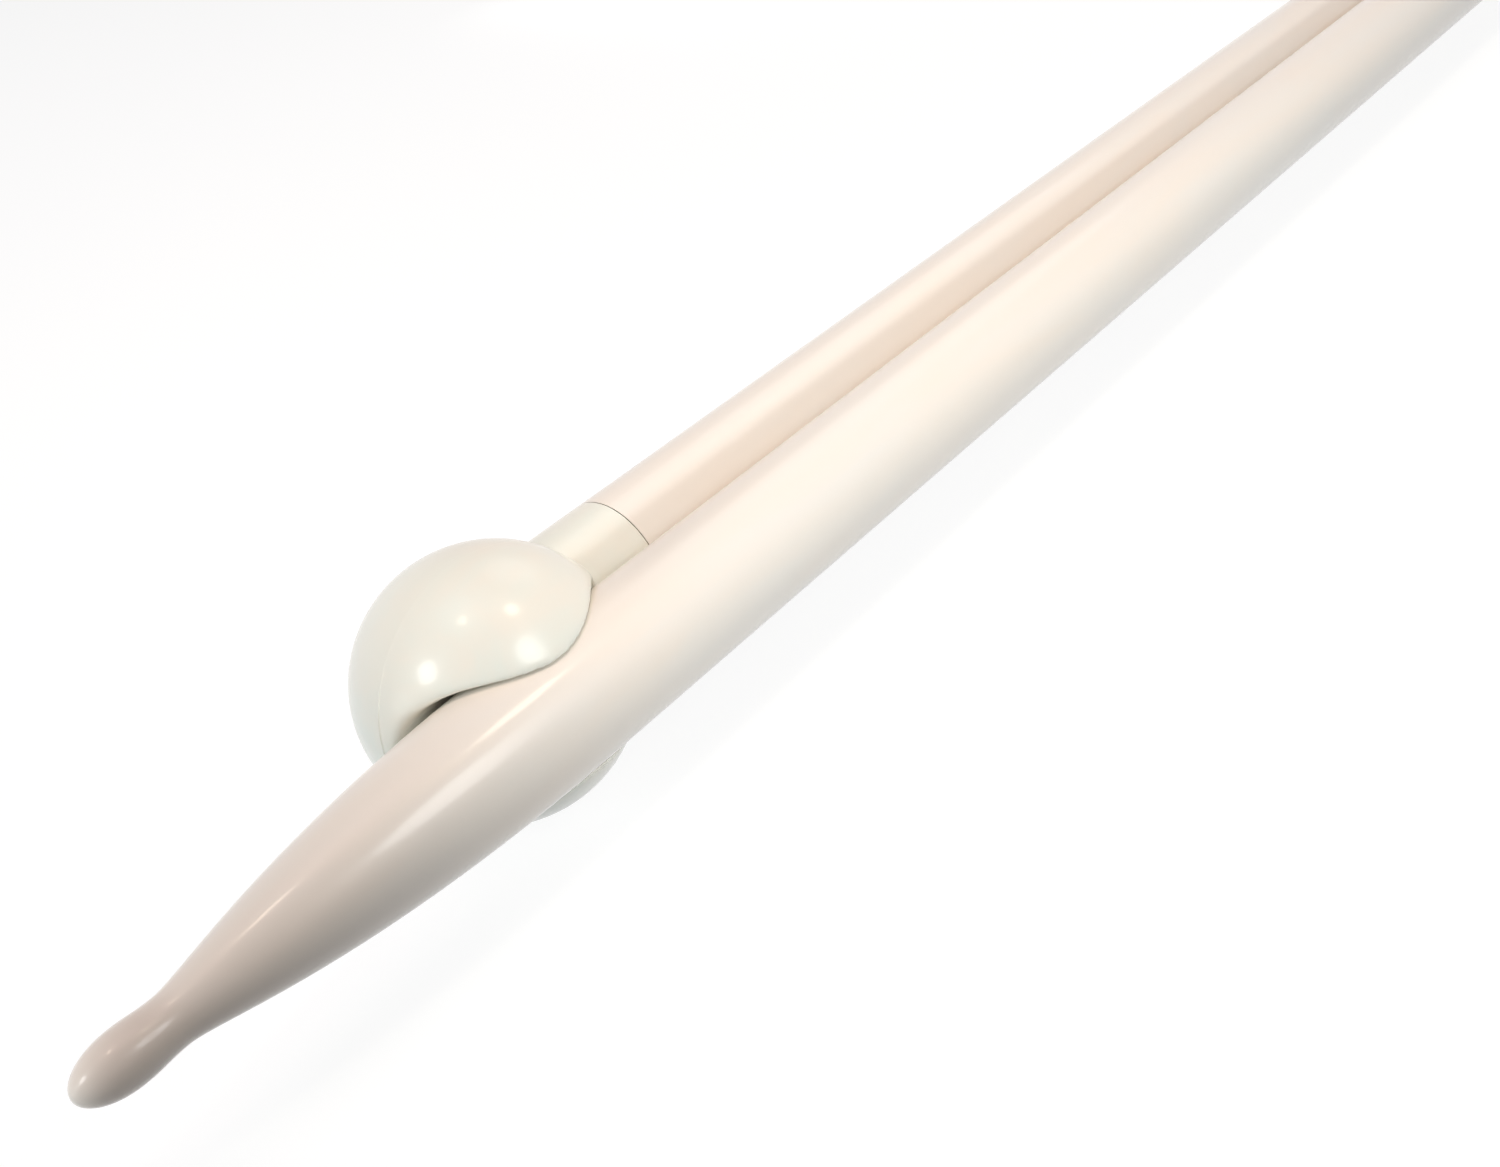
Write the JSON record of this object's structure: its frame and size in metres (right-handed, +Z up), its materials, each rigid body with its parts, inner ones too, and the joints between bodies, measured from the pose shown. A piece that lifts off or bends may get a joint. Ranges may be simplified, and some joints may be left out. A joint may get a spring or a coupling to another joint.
{
  "type": "pair of knitting needles",
  "caption": "Pair of single-pointed plastic knitting needles with drop-shaped points and offset ball heads whose grooves clip the needles together.",
  "frame": {"origin": "On the table, under the middle of the clipped pair", "axes": "+X along the needles, from the front needle's point to its ball head; +Z up; the front needle lies on the -Y side"},
  "size_m": [0.3772, 0.0238, 0.0206],
  "materials": {
    "shaft_plastic": "pearly off-white, glossy, moulded",
    "head_plastic": "pearly off-white, glossy, moulded, with a fine mould line"
  },
  "bodies": {
    "back_needle": {"back_needle_shaft": "shaft_plastic", "back_needle_head": "head_plastic"},
    "front_needle": {"front_needle_shaft": "shaft_plastic", "front_needle_head": "head_plastic"}
  },
  "joints": [
    {"name": "clip_slide", "type": "slide", "parent": "back_needle", "child": "front_needle", "axis": [1, 0, 0], "range_m": [-0.281, 0.06]}
  ]
}
